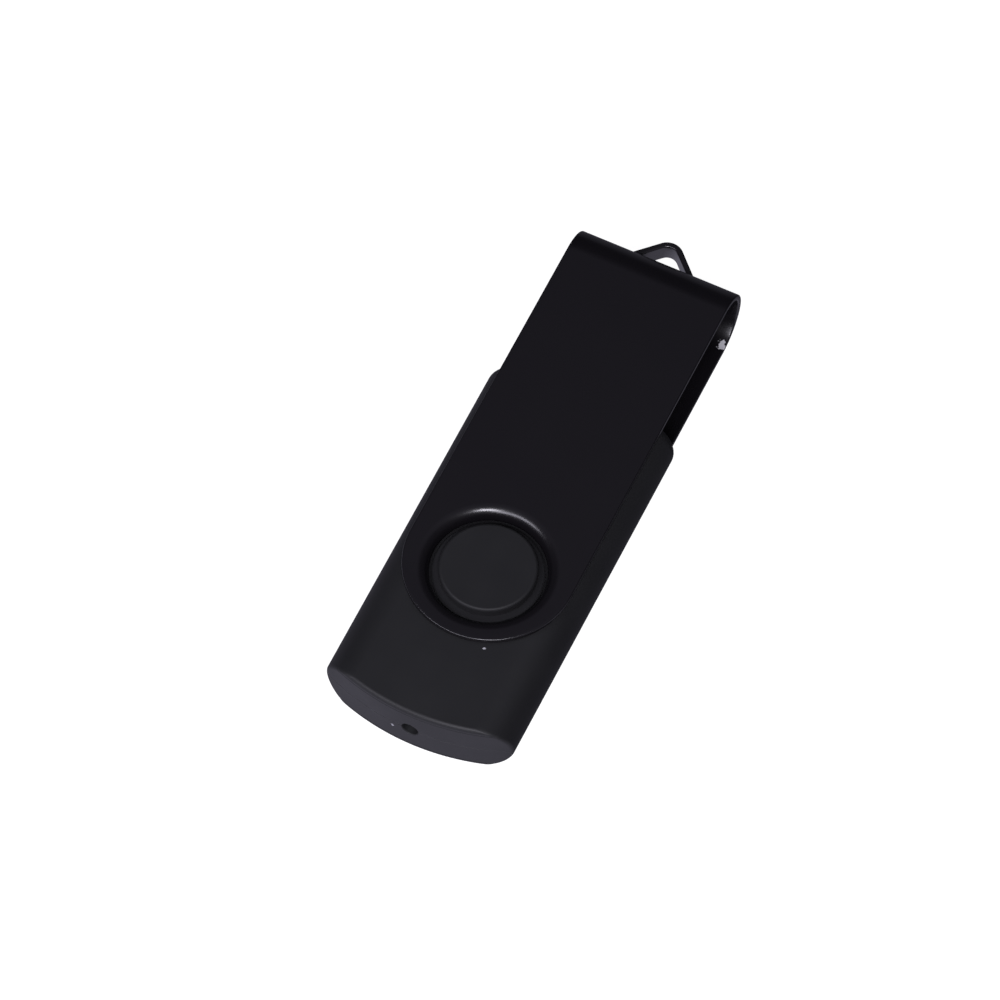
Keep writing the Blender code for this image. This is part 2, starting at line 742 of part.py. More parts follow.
def make_materials():
    return {
        "case": make_material("black_case_plastic", (0.018, 0.018, 0.020), 0.55),
        "cover": make_material("black_painted_steel", (0.011, 0.010, 0.012), 0.42),
        "plug": make_material("nickel_plated_steel", (0.62, 0.61, 0.59), 0.28, 1.0),
        "insulator": make_material("plug_insulator_plastic", (0.02, 0.02, 0.02), 0.5),
        "gold": make_material("gold_plated_contact", (0.83, 0.62, 0.30), 0.25, 1.0),
        "board": make_material("green_solder_mask", (0.02, 0.13, 0.05), 0.4),
        "chip": make_material("moulded_epoxy", (0.03, 0.03, 0.03), 0.6),
        "can": make_material("crystal_can_metal", (0.7, 0.7, 0.7), 0.3, 1.0),
        "led": make_material("clear_led_resin", (0.75, 0.8, 0.85), 0.2),
        "ceramic": make_material("ceramic_capacitor", (0.45, 0.33, 0.22), 0.5),
        "resistor": make_material("chip_resistor", (0.05, 0.05, 0.06), 0.5),
        "ferrite": make_material("ferrite", (0.12, 0.12, 0.13), 0.6),
        "solder": make_material("solder", (0.66, 0.66, 0.67), 0.35, 1.0),
    }


def main():
    clear_scene()
    materials = make_materials()
    case_frame = make_empty("case_frame", (PIVOT_X, 0, MID_HEIGHT))
    cover_pivot = make_empty("cover_pivot", (0, 0, 0), case_frame)
    make_case_half("upper_shell", 1, materials, case_frame)
    make_case_half("lower_shell", -1, materials, case_frame)
    make_cover(materials, cover_pivot)
    make_plug_shell(materials, case_frame)
    make_plug_insulator(materials, case_frame)
    make_contacts(materials, case_frame)
    make_solder_joints(materials, case_frame)
    make_board(materials, case_frame)
    make_electronics(materials, case_frame)


main()
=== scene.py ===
"""Looks for the swivel-cover USB flash drive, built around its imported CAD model.

Shapes are drawn in millimetres from the pivot axis and the case's mid-plane, as in
the CAD model, and each new piece is placed on the pivot that the record gives.
"""
import json
import math

import bmesh
import bpy
from mathutils import Matrix, Vector


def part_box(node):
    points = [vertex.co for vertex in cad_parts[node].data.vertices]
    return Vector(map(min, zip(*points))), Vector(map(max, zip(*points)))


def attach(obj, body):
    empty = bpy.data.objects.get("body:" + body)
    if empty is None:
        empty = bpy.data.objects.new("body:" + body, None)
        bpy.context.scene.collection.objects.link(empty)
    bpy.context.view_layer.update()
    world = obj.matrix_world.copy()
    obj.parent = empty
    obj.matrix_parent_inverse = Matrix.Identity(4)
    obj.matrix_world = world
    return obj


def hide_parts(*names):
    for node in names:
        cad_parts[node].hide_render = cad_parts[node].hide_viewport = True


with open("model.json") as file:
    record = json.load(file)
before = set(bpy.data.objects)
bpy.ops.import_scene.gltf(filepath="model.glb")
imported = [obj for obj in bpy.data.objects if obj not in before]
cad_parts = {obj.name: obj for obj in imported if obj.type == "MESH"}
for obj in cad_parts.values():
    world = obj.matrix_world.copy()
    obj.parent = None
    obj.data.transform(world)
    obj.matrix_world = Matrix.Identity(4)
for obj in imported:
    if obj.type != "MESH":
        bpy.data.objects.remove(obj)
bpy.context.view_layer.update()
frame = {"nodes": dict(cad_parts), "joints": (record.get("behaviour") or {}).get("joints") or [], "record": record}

MM = 0.001
PIVOT = Vector(frame["joints"][0]["pos_m"])


def extent(node, axis):
    """Lowest and highest reach of a CAD node along an axis, in mm from the pivot."""
    low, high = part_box(node)
    return (low[axis] - PIVOT[axis]) / MM, (high[axis] - PIVOT[axis]) / MM


# Sizes read from the frame.
COVER_HALF_WIDTH = extent("swivel_cover", 1)[1]
COVER_HALF_HEIGHT = extent("swivel_cover", 2)[1]
LOOP_TIP = extent("swivel_cover", 0)[1]
CASE_HALF_WIDTH = extent("upper_shell", 1)[1]
CASE_REAR, CASE_FRONT = -extent("upper_shell", 0)[0], extent("upper_shell", 0)[1]
BOSS_TOP = extent("upper_shell", 2)[1]
PLUG_TIP = extent("plug_shell", 0)[1]
PLUG_HALF_WIDTH = extent("plug_shell", 1)[1]
PLUG_HALF_HEIGHT = extent("plug_shell", 2)[1]

# Sizes that a box doesn't give, the same as in the CAD model.
CASE_HALF = 3.3
REAR_SAGITTA = 2.1
SIDE_DEPTH = 3.6
EDGE_ROUND = 0.45
FRONT_CORNER = 1.4
REAR_CORNER = 0.5
CASE_WALL = 0.95
LED_HOLE_RADIUS = 0.85
BOSS_RADIUS = 4.78
BOSS_CORE_RADIUS = 3.6
BOSS_CORE_TOP = 2.9
SHOULDER_RADIUS = 5.45
SHOULDER_TOP = 2.85
GROOVE_RADIUS = 6.95
GROOVE_FLOOR = 2.3
GROOVE_BACKING = 0.7
GROOVE_SIDE_WALL = 0.8
SHEET = 0.6
COVER_REACH = 39.5
PLATE_END_CENTRE = 0.5
COLLAR_RADIUS = 5.7
COLLAR_ROUND = 1.25
COLLAR_RIM = 2.65
LOOP_TIP_RADIUS = 1.65
LOOP_CENTRE = LOOP_TIP - LOOP_TIP_RADIUS
LOOP_HALF_HEIGHT = 1.08
LOOP_ROOT_HALF_WIDTH = 3.0
WINDOW_HALF_WIDTH = 2.95
WINDOW_HALF_HEIGHT = 1.18
WINDOW_CORNER = 0.2
PLUG_REAR = 17.4
PLUG_SHEET = 0.3
LATCH_FROM_TIP = 5.2
LATCH_LENGTH = 2.5
LATCH_WIDTH = 2.2
LATCH_SPREAD = 2.3
TONGUE_TIP = 33.3
CONTACTS = ("contact_power", "contact_data_minus", "contact_data_plus", "contact_ground")

# Gaps and rounding drawn nearer to the real object's than in the CAD model.
PARTING_GAP = 0.02
BOSS_ROUND = 0.3
PLATE_EDGE_ROUND = 0.2
LOOP_EDGE_ROUND = 0.17
PLUG_CORNER = 0.6

# A faint line that the mould leaves round the rear face, under its top edge.
MOULD_LINE_HEIGHT = CASE_HALF - 0.62
MOULD_LINE_HALF_WIDTH = 0.05
MOULD_LINE_DEPTH = 0.045

# Marks of use on the case, and a painted highlight on the cover: place in mm from the pivot, and radius.
CASE_SPECKS = (((-7.85, -3.35, 3.3), 0.14), ((-17.08, 1.85, -0.7), 0.18))
PAINTED_GLINT = ((36.0, -8.0, -3.5), 0.5)

# How finely the visible shapes are divided.
ROUND_STEPS = 120
BEND_STEPS = 60
COLLAR_STEPS = 16
CASE_LEVELS = 30
REAR_STEPS = 40
CORNER_STEPS = 8
LOOP_STEPS = 24
LAMP_HOLE_STEPS = 48

# Edges that turn by more than this, in degrees, are rounded, or shaded as sharp.
ROUNDED_FROM = 50
SHARP_FROM = 40

# Darkest and lightest colour, roughness and metallic value of the plainer materials.
PLAIN_LOOKS = {
    "insulator_plastic": ((0.015, 0.015, 0.016), (0.024, 0.024, 0.025), 0.5, 0.0),
    "contact_metal": ((0.80, 0.58, 0.26), (0.88, 0.68, 0.36), 0.28, 1.0),
    "board_laminate": ((0.012, 0.10, 0.035), (0.02, 0.14, 0.05), 0.4, 0.0),
    "chip_epoxy": ((0.02, 0.02, 0.021), (0.035, 0.035, 0.036), 0.6, 0.0),
    "can_metal": ((0.62, 0.62, 0.62), (0.75, 0.75, 0.75), 0.32, 1.0),
    "led_resin": ((0.65, 0.70, 0.74), (0.80, 0.84, 0.88), 0.25, 0.0),
    "capacitor_ceramic": ((0.40, 0.29, 0.18), (0.50, 0.38, 0.26), 0.5, 0.0),
    "resistor_ceramic": ((0.04, 0.04, 0.05), (0.06, 0.06, 0.07), 0.45, 0.0),
    "ferrite": ((0.10, 0.10, 0.11), (0.15, 0.15, 0.16), 0.6, 0.0),
    "solder": ((0.60, 0.60, 0.61), (0.72, 0.72, 0.73), 0.33, 1.0),
}

# The room, in metres.
FLOOR_HALF = 1.5
DOME_RADIUS = 1.3
CAMERA_DISTANCE = 0.6765


# Outlines -----------------------------------------------------------------------

def rounded_outline(corners):
    """A closed outline through corners (x, y, radius), each turned into an arc."""
    outline = []
    for i, (x, y, radius) in enumerate(corners):
        corner = Vector((x, y))
        if not radius:
            outline.append((x, y))
            continue
        to_last = (Vector(corners[i - 1][:2]) - corner).normalized()
        to_next = (Vector(corners[(i + 1) % len(corners)][:2]) - corner).normalized()
        half_angle = to_last.angle(to_next) / 2
        centre = corner + (to_last + to_next).normalized() * radius / math.sin(half_angle)
        start = corner + to_last * radius / math.tan(half_angle) - centre
        end = corner + to_next * radius / math.tan(half_angle) - centre
        turn = math.atan2(start.cross(end), start.dot(end))
        first = math.atan2(start.y, start.x)
        for step in range(CORNER_STEPS + 1):
            angle = first + turn * step / CORNER_STEPS
            outline.append(
                (centre.x + radius * math.cos(angle), centre.y + radius * math.sin(angle))
            )
    return outline


def rectangle(half_x, half_y, radius):
    signs = ((1, -1), (1, 1), (-1, 1), (-1, -1))
    return rounded_outline([(sx * half_x, sy * half_y, radius) for sx, sy in signs])


def circle(radius, steps=ROUND_STEPS):
    turns = [math.tau * i / steps for i in range(steps)]
    return [(radius * math.cos(turn), radius * math.sin(turn)) for turn in turns]


def quarter(centre_u, centre_v, radius):
    """A quarter circle from its outermost to its topmost point."""
    angles = [math.radians(90 * i / CORNER_STEPS) for i in range(CORNER_STEPS + 1)]
    return [(centre_u + radius * math.cos(a), centre_v + radius * math.sin(a)) for a in angles]


def mould_line(height):
    """Depth of the line round the rear face at a height above the mid-plane."""
    off_centre = (height - MOULD_LINE_HEIGHT) / MOULD_LINE_HALF_WIDTH
    return MOULD_LINE_DEPTH * math.exp(-(off_centre**2))


def case_outline(height, inset, detailed):
    """The case's outline at a height above the mid-plane, moved in by a wall.

    Its sides bow out to the mid-plane, and its ends round over into the top. The
    detailed outline has the mould line.
    """
    half_thickness = CASE_HALF - inset
    side_depth = SIDE_DEPTH - inset
    share = min(height / half_thickness, 1.0)
    side = CASE_HALF_WIDTH - inset - side_depth * (1 - math.sqrt(1 - share**2))
    into_round = max(height - (half_thickness - EDGE_ROUND), 0.0)
    end_inset = inset + EDGE_ROUND - math.sqrt(max(EDGE_ROUND**2 - into_round**2, 0.0))
    front = CASE_FRONT - end_inset
    rear = CASE_REAR - end_inset - (mould_line(height) if detailed else 0.0)
    arc_radius = (CASE_HALF_WIDTH**2 + REAR_SAGITTA**2) / (2 * REAR_SAGITTA)
    corners = [(front, -side, FRONT_CORNER), (front, side, FRONT_CORNER)]
    # The arc's own points keep clear of the rounded corners at its ends.
    clear = side - 1.05 * REAR_CORNER
    inner = [clear * (1 - 2 * step / REAR_STEPS) for step in range(REAR_STEPS + 1)]
    for y in [side] + inner + [-side]:
        x = arc_radius - rear - math.sqrt(arc_radius**2 - y**2)
        corners.append((x, y, REAR_CORNER if abs(y) == side else 0.0))
    return rounded_outline(corners)


# Meshes -------------------------------------------------------------------------

# How a prism's outline (u, v) and the direction that it runs in (w) lie along X, Y and Z.

def along_x(u, v, w):
    return (w, u, v)


def along_y(u, v, w):
    return (u, w, v)


def along_z(u, v, w):
    return (u, v, w)


def add_loft(mesh, rings, closed=False):
    """A solid through rings of equal point count: capped at its ends, or joined round."""
    loops = [[mesh.verts.new(point) for point in ring] for ring in rings]
    pairs = list(zip(loops, loops[1:]))
    if closed:
        pairs.append((loops[-1], loops[0]))
    else:
        mesh.faces.new(loops[0][::-1])
        mesh.faces.new(loops[-1])
    for lower, upper in pairs:
        for i in range(len(lower)):
            j = (i + 1) % len(lower)
            mesh.faces.new((lower[i], lower[j], upper[j], upper[i]))


def add_prism(mesh, outline, start, end, place=along_z):
    """A solid with one outline all the way from start to end."""
    add_loft(mesh, [[place(u, v, w) for u, v in outline] for w in (start, end)])


def add_box(mesh, low, high):
    """A box between its lowest and its highest corner."""
    outline = [(low[0], low[1]), (high[0], low[1]), (high[0], high[1]), (low[0], high[1])]
    add_prism(mesh, outline, low[2], high[2])


def turned(profile):
    """A round solid about the pivot axis through (radius, height) points, capped at its ends."""
    mesh = bmesh.new()
    add_loft(mesh, [[(x, y, z) for x, y in circle(radius)] for radius, z in profile])
    return mesh


# Objects ------------------------------------------------------------------------

def make_object(name, mesh, closed=True):
    """A smooth piece on the pivot, from a mesh in millimetres, which is used up."""
    if closed:
        bmesh.ops.recalc_face_normals(mesh, faces=mesh.faces)
    bmesh.ops.scale(mesh, vec=(MM, MM, MM), verts=mesh.verts)
    data = bpy.data.meshes.new(name)
    mesh.to_mesh(data)
    mesh.free()
    data.shade_smooth()
    piece = bpy.data.objects.new(name, data)
    bpy.context.scene.collection.objects.link(piece)
    piece.location = PIVOT
    return piece


def combine(piece, operation, mesh):
    """Cut a shape from the piece or join one to it, at once, leaving no helper behind."""
    helper = make_object(f"{piece.name}.helper", mesh)
    apply_boolean(piece, operation, helper)


def apply_boolean(piece, operation, helper):
    modifier = piece.modifiers.new("combine", "BOOLEAN")
    modifier.operation = operation
    modifier.object = helper
    modifier.solver = "EXACT"
    apply_modifiers(piece)
    bpy.data.objects.remove(helper)


def apply_modifiers(piece):
    """Replace the piece's mesh with what its modifiers make of it."""
    graph = bpy.context.evaluated_depsgraph_get()
    made = bpy.data.meshes.new_from_object(piece.evaluated_get(graph))
    piece.modifiers.clear()
    piece.data = made


def add_bevel(piece, width, segments):
    """Round the piece's edges by a width in millimetres."""
    bevel = piece.modifiers.new("edges", "BEVEL")
    bevel.width = width * MM
    bevel.segments = segments
    bevel.limit_method = "ANGLE"
    bevel.angle_limit = math.radians(ROUNDED_FROM)
    apply_modifiers(piece)


def finish_piece(piece, body, material, node):
    """Shade the piece, hang it on its body and let it stand for its CAD node."""
    piece.data.shade_smooth()
    piece.data.set_sharp_from_angle(angle=math.radians(SHARP_FROM))
    normals = piece.modifiers.new("flat faces stay flat", "WEIGHTED_NORMAL")
    normals.keep_sharp = True
    piece.data.materials.clear()
    piece.data.materials.append(material)
    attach(piece, body)
    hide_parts(node)


# Cover --------------------------------------------------------------------------

def plate_edge(angle, margin):
    """Where a ray from the pivot leaves the plate zone, short of its edge by a margin.

    The zone is square in front, towards the bend, and round behind.
    """
    half = COVER_HALF_WIDTH
    x, y = math.cos(angle), math.sin(angle)
    if abs(x) >= abs(y) - 1e-9 and x > 0:
        reach = half / x
    elif x > 0 and half * x / abs(y) >= PLATE_END_CENTRE:
        reach = half / abs(y)
    else:
        along = PLATE_END_CENTRE * x
        reach = along + math.sqrt(along**2 - PLATE_END_CENTRE**2 + half**2)
    return ((reach - margin) * x, (reach - margin) * y)


def collar_profile():
    """The outer face from the collar's rim up to the flat plate, as (radius, height)."""
    profile = [(COLLAR_RADIUS, COLLAR_RIM)]
    for step in range(COLLAR_STEPS + 1):
        turn = math.pi / 2 * step / COLLAR_STEPS
        radius = COLLAR_RADIUS + COLLAR_ROUND * (1 - math.cos(turn))
        profile.append((radius, COVER_HALF_HEIGHT - COLLAR_ROUND * (1 - math.sin(turn))))
    return profile


def add_plate_zone(mesh, side):
    """The collared zone about the pivot. Returns the vertices along its square front."""
    angles = [math.tau * i / ROUND_STEPS for i in range(ROUND_STEPS)]
    outlines, heights = [], []
    for radius, height in collar_profile():
        outlines.append([(radius * math.cos(a), radius * math.sin(a)) for a in angles])
        heights.append(height)
    clear_of_round = PLATE_EDGE_ROUND + 0.1
    for margin in (clear_of_round, 0.0):
        outlines.append([plate_edge(angle, margin) for angle in angles])
        heights.append(COVER_HALF_HEIGHT)
    rings = []
    for outline, height in zip(outlines, heights):
        rings.append([mesh.verts.new((x, y, side * height)) for x, y in outline])
    for inner, outer in zip(rings, rings[1:]):
        for i in range(ROUND_STEPS):
            j = (i + 1) % ROUND_STEPS
            mesh.faces.new((inner[i], outer[i], outer[j], inner[j])[::side])
    eighth = ROUND_STEPS // 8
    return [rings[-1][i % ROUND_STEPS] for i in range(-eighth, eighth + 1)]


def make_cover_skin():
    """The outer face of the whole strip, with its normals facing out."""
    skin = bmesh.new()
    rows = [add_plate_zone(skin, 1)]
    columns = [vertex.co.y for vertex in rows[0]]
    bend_centre = COVER_REACH - COVER_HALF_HEIGHT
    for step in range(BEND_STEPS + 1):
        angle = math.pi / 2 - math.pi * step / BEND_STEPS
        x = bend_centre + COVER_HALF_HEIGHT * math.cos(angle)
        z = COVER_HALF_HEIGHT * math.sin(angle)
        rows.append([skin.verts.new((x, y, z)) for y in columns])
    rows.append(add_plate_zone(skin, -1))
    for near, far in zip(rows, rows[1:]):
        for i in range(len(columns) - 1):
            skin.faces.new((near[i], far[i], far[i + 1], near[i + 1]))
    return skin


def loop_path(offset, start):
    """One edge of the loop's band seen from above, moved in by an offset."""
    tip_radius = LOOP_TIP_RADIUS - offset
    root = LOOP_CENTRE + tip_radius * math.sqrt(2) - start
    path = [(start, -root)]
    for step in range(LOOP_STEPS + 1):
        angle = math.radians(-45 + 90 * step / LOOP_STEPS)
        x = LOOP_CENTRE + tip_radius * math.cos(angle)
        path.append((x, tip_radius * math.sin(angle)))
    path.append((start, root))
    return path


def make_key_loop():
    """The arched strip, its long edges rounded by the punch."""
    arch = bmesh.new()
    inner_diagonal = LOOP_CENTRE + (LOOP_TIP_RADIUS - SHEET) * math.sqrt(2)
    start = inner_diagonal - LOOP_ROOT_HALF_WIDTH
    band = loop_path(0, start) + loop_path(SHEET, start)[::-1]
    add_prism(arch, band, -LOOP_HALF_HEIGHT, LOOP_HALF_HEIGHT)
    loop = make_object("key_loop", arch)
    add_bevel(loop, LOOP_EDGE_ROUND, 4)
    return loop


def make_cover():
    """The bent strip with its collars, its window and the key loop that stands out of it."""
    cover = make_object("cover_sheet", make_cover_skin(), closed=False)
    sheet = cover.modifiers.new("sheet", "SOLIDIFY")
    sheet.thickness = SHEET * MM
    sheet.offset = -1
    sheet.use_even_offset = True
    apply_modifiers(cover)
    add_bevel(cover, PLATE_EDGE_ROUND, 4)

    window = bmesh.new()
    outline = rectangle(WINDOW_HALF_WIDTH, WINDOW_HALF_HEIGHT, WINDOW_CORNER)
    add_prism(window, outline, COVER_REACH - 2, COVER_REACH + 1, along_x)
    combine(cover, "DIFFERENCE", window)
    apply_boolean(cover, "UNION", make_key_loop())
    return cover


# Case ---------------------------------------------------------------------------

def case_rings(inset, lowest, detailed=False):
    """The case's outlines from a lowest height up to its top, closer where it curves over."""
    heights = [lowest]
    for level in range(1, CASE_LEVELS + 1):
        heights.append((CASE_HALF - inset) * math.sin(math.pi / 2 * level / CASE_LEVELS))
    if detailed:
        heights += [MOULD_LINE_HEIGHT + MOULD_LINE_HALF_WIDTH / 2 * i for i in range(-5, 6)]
    return [
        [(x, y, z) for x, y in case_outline(max(z, 0), inset, detailed)]
        for z in sorted(heights)
    ]


def outside_rings():
    """The outer rings of one half, the first drawn in a little to break the parting edge."""
    lip_width, lip_height = 0.015, 0.02
    rings = case_rings(0, PARTING_GAP / 2 + lip_height, True)
    scale_in = 1 - lip_width / CASE_HALF_WIDTH
    edge = [(x * scale_in, y * scale_in, PARTING_GAP / 2) for x, y, _ in rings[0]]
    return [edge] + rings


def groove_profile():
    """The round groove about the boss, its upper edge rounded over, as (radius, height)."""
    lead_in = 0.12
    return [
        (GROOVE_RADIUS, GROOVE_FLOOR),
        (GROOVE_RADIUS, CASE_HALF - lead_in),
        (GROOVE_RADIUS + 0.3 * lead_in, CASE_HALF - 0.3 * lead_in),
        (GROOVE_RADIUS + 1.3 * lead_in, CASE_HALF + 0.1 * lead_in),
        (GROOVE_RADIUS + 1.3 * lead_in, CASE_HALF + 1),
    ]


def boss_profile():
    """The shoulder that the collar turns on and the boss above it, as (radius, height)."""
    root, lead_in = 0.35, 0.15
    profile = [
        (SHOULDER_RADIUS, GROOVE_FLOOR - root),
        (SHOULDER_RADIUS, SHOULDER_TOP - lead_in),
        (SHOULDER_RADIUS - lead_in, SHOULDER_TOP),
        (BOSS_RADIUS, SHOULDER_TOP),
    ]
    return profile + quarter(BOSS_RADIUS - BOSS_ROUND, BOSS_TOP - BOSS_ROUND, BOSS_ROUND)


def case_openings():
    """The plug's opening in the front, and the lamp hole in the rear with its flared rim."""
    openings = bmesh.new()
    play = 0.05
    half_width, top = PLUG_HALF_WIDTH + play, PLUG_HALF_HEIGHT + play
    add_box(openings, (CASE_FRONT - 2, -half_width, -1), (CASE_FRONT + 1, half_width, top))
    flare, before_face, inside = 0.08, 0.5, 2
    lamp_hole = (
        (-CASE_REAR - before_face, LED_HOLE_RADIUS + flare + before_face),
        (-CASE_REAR + flare, LED_HOLE_RADIUS),
        (-CASE_REAR + inside, LED_HOLE_RADIUS),
    )
    rings = []
    for x, radius in lamp_hole:
        rings.append([(x, y, z) for y, z in circle(radius, LAMP_HOLE_STEPS)])
    add_loft(openings, rings)
    return openings


def make_case_half(name, side):
    """The upper half with side 1, and the lower half, its mirror image, with side -1."""

    def facing(mesh):
        bmesh.ops.scale(mesh, vec=(1, 1, side), verts=mesh.verts)
        return mesh

    outside = bmesh.new()
    add_loft(outside, outside_rings())
    half = make_object(name, facing(outside))

    cavity = bmesh.new()
    add_loft(cavity, case_rings(CASE_WALL, -1))
    within_top_wall = CASE_HALF - 0.5
    backing_radius = GROOVE_RADIUS + GROOVE_SIDE_WALL
    backing = [(backing_radius, GROOVE_FLOOR - GROOVE_BACKING), (backing_radius, within_top_wall)]
    core = [(BOSS_CORE_RADIUS, 0), (BOSS_CORE_RADIUS, BOSS_CORE_TOP)]
    for operation, mesh in (
        ("DIFFERENCE", cavity),
        ("UNION", turned(backing)),
        ("DIFFERENCE", turned(groove_profile())),
        ("UNION", turned(boss_profile())),
        ("DIFFERENCE", turned(core)),
        ("DIFFERENCE", case_openings()),
    ):
        combine(half, operation, facing(mesh))
    return half


# Plug ---------------------------------------------------------------------------

def plug_tube():
    """The folded sheet as a tube whose mouth's edge is rolled in."""
    # Distance back from the tip, and how far the surface lies inside the plug's outline.
    rolled_edge = (
        (1.0, 0.0), (0.6, 0.02), (0.3, 0.06), (0.1, 0.12), (0.02, 0.2), (0.0, 0.27),
        (0.06, 0.36), (0.5, 0.36), (1.0, PLUG_SHEET),
    )
    stations = [(PLUG_REAR, 0.0)]
    stations += [(PLUG_TIP - back, inset) for back, inset in rolled_edge]
    stations.append((PLUG_REAR, PLUG_SHEET))
    rings = []
    for x, inset in stations:
        corner = max(PLUG_CORNER - inset, PLUG_SHEET / 2)
        outline = rectangle(PLUG_HALF_WIDTH - inset, PLUG_HALF_HEIGHT - inset, corner)
        rings.append([(x, y, z) for y, z in outline])
    tube = bmesh.new()
    add_loft(tube, rings, closed=True)
    return tube


def latch_windows():
    """The four holes that a socket's springs snap into, two above and two below."""
    windows = bmesh.new()
    corner = 0.25
    window = rectangle(LATCH_LENGTH / 2, LATCH_WIDTH / 2, corner)
    centre_x = PLUG_TIP - LATCH_FROM_TIP - LATCH_LENGTH / 2
    inner, outer = 1.2, PLUG_HALF_HEIGHT + 1
    for y in (-LATCH_SPREAD, LATCH_SPREAD):
        outline = [(centre_x + u, y + v) for u, v in window]
        for low, high in ((-outer, -inner), (inner, outer)):
            add_prism(windows, outline, low, high)
    return windows


def plug_seam():
    """The toothed seam along the underside, where the folded sheet meets itself."""
    half_width, depth, tooth = 0.03, 0.08, 0.5
    slant, tooth_length = 0.2, 1.4
    path = [(PLUG_REAR - 1, 0)]
    for x, rise in ((21.4, tooth), (26.2, -tooth)):
        path += [(x, 0), (x + slant, rise)]
        path += [(x + slant + tooth_length, rise), (x + 2 * slant + tooth_length, 0)]
    path.append((PLUG_TIP + 1, 0))
    outline = [(x, y - half_width) for x, y in path]
    outline += [(x, y + half_width) for x, y in reversed(path)]
    seam = bmesh.new()
    add_prism(seam, outline, -PLUG_HALF_HEIGHT - 0.5, -PLUG_HALF_HEIGHT + depth)
    return seam


def make_plug_shell():
    """The plug's folded sheet-metal shell."""
    shell = make_object("plug_shell_tube", plug_tube())
    combine(shell, "DIFFERENCE", latch_windows())
    combine(shell, "DIFFERENCE", plug_seam())
    return shell


def make_tongue():
    """The moulded block inside the plug, with a slot for each contact."""
    play = 0.05
    base = PLUG_SHEET + play - PLUG_HALF_HEIGHT
    half_width = PLUG_HALF_WIDTH - PLUG_SHEET - play
    rear, block_front = PLUG_REAR + 0.1, 22.3
    outline = [(rear, base), (TONGUE_TIP, base), (TONGUE_TIP, 0.0),
               (block_front, 0.0), (block_front, -base), (rear, -base)]
    block = bmesh.new()
    add_prism(block, outline, -half_width, half_width, along_y)
    tongue = make_object("plug_tongue", block)
    add_bevel(tongue, 0.1, 2)

    gap, slot_floor, above = 0.03, -0.2, 0.06
    slots = bmesh.new()
    for name in CONTACTS:
        y_low, y_high = extent(name, 1)
        tip = extent(name, 0)[1]
        low = (PLUG_REAR - 1, y_low - gap, slot_floor)
        add_box(slots, low, (tip + gap, y_high + gap, above))
    combine(tongue, "DIFFERENCE", slots)
    return tongue


# Materials ----------------------------------------------------------------------

def new_material(name):
    material = bpy.data.materials.new(name)
    material.use_nodes = True
    tree = material.node_tree
    return material, tree, tree.nodes["Principled BSDF"]


def object_coordinates(tree, stretch=(1, 1, 1)):
    """Object coordinates, counted in millimetres."""
    coordinates = tree.nodes.new("ShaderNodeTexCoord")
    mapping = tree.nodes.new("ShaderNodeMapping")
    mapping.inputs["Scale"].default_value = [share / MM for share in stretch]
    tree.links.new(coordinates.outputs["Object"], mapping.inputs["Vector"])
    return mapping.outputs["Vector"]


def noise(tree, size, detail, roughness=0.5, stretch=(1, 1, 1)):
    """Noise whose lumps are about this many millimetres across."""
    texture = tree.nodes.new("ShaderNodeTexNoise")
    texture.inputs["Scale"].default_value = 1 / size
    texture.inputs["Detail"].default_value = detail
    texture.inputs["Roughness"].default_value = roughness
    tree.links.new(object_coordinates(tree, stretch), texture.inputs["Vector"])
    return texture.outputs["Fac"]


def remap(tree, value, low, high, new_low, new_high):
    """Linear change of range, clamped."""
    node = tree.nodes.new("ShaderNodeMapRange")
    for socket, number in zip(("From Min", "From Max", "To Min", "To Max"),
                              (low, high, new_low, new_high)):
        node.inputs[socket].default_value = number
    tree.links.new(value, node.inputs["Value"])
    return node.outputs["Result"]


def math_node(tree, operation, first, second):
    """A sum or product of two values, each a number or another node's output."""
    node = tree.nodes.new("ShaderNodeMath")
    node.operation = operation
    for socket, value in zip(node.inputs, (first, second)):
        if isinstance(value, (int, float)):
            socket.default_value = value
        else:
            tree.links.new(value, socket)
    return node.outputs["Value"]


def mix_colours(tree, share, first, second):
    """From the first colour to the second, each a plain colour or another node's output."""
    node = tree.nodes.new("ShaderNodeMix")
    node.data_type = "RGBA"
    colour_inputs = [socket for socket in node.inputs if socket.type == "RGBA"]
    tree.links.new(share, node.inputs["Factor"])
    for socket, value in zip(colour_inputs, (first, second)):
        if isinstance(value, tuple):
            socket.default_value = (*value, 1.0)
        else:
            tree.links.new(value, socket)
    return next(socket for socket in node.outputs if socket.type == "RGBA")


def add_bump(tree, shader, height, distance):
    """Bump whose full height is this many millimetres."""
    bump = tree.nodes.new("ShaderNodeBump")
    bump.inputs["Distance"].default_value = distance * MM
    bump.inputs["Strength"].default_value = 1.0
    tree.links.new(height, bump.inputs["Height"])
    tree.links.new(bump.outputs["Normal"], shader.inputs["Normal"])


def scratches(tree, width, length):
    """Fine straight marks along X: 1 on the few lumps that stand out, 0 elsewhere."""
    streaks = noise(tree, width, 1.0, 0.4, (width / length, 1, 1))
    return remap(tree, streaks, 0.70, 0.76, 0.0, 1.0)


def spot(tree, centre, radius):
    """1 within an uneven patch about a point, in mm from the pivot, and 0 outside it."""
    coordinates = object_coordinates(tree)
    distance = tree.nodes.new("ShaderNodeVectorMath")
    distance.operation = "DISTANCE"
    tree.links.new(coordinates, distance.inputs[0])
    distance.inputs[1].default_value = centre
    ragged = remap(tree, noise(tree, radius, 2.0), 0.3, 0.7, -0.5 * radius, 0.5 * radius)
    reach = math_node(tree, "ADD", distance.outputs["Value"], ragged)
    return remap(tree, reach, 0.8 * radius, radius, 1.0, 0.0)


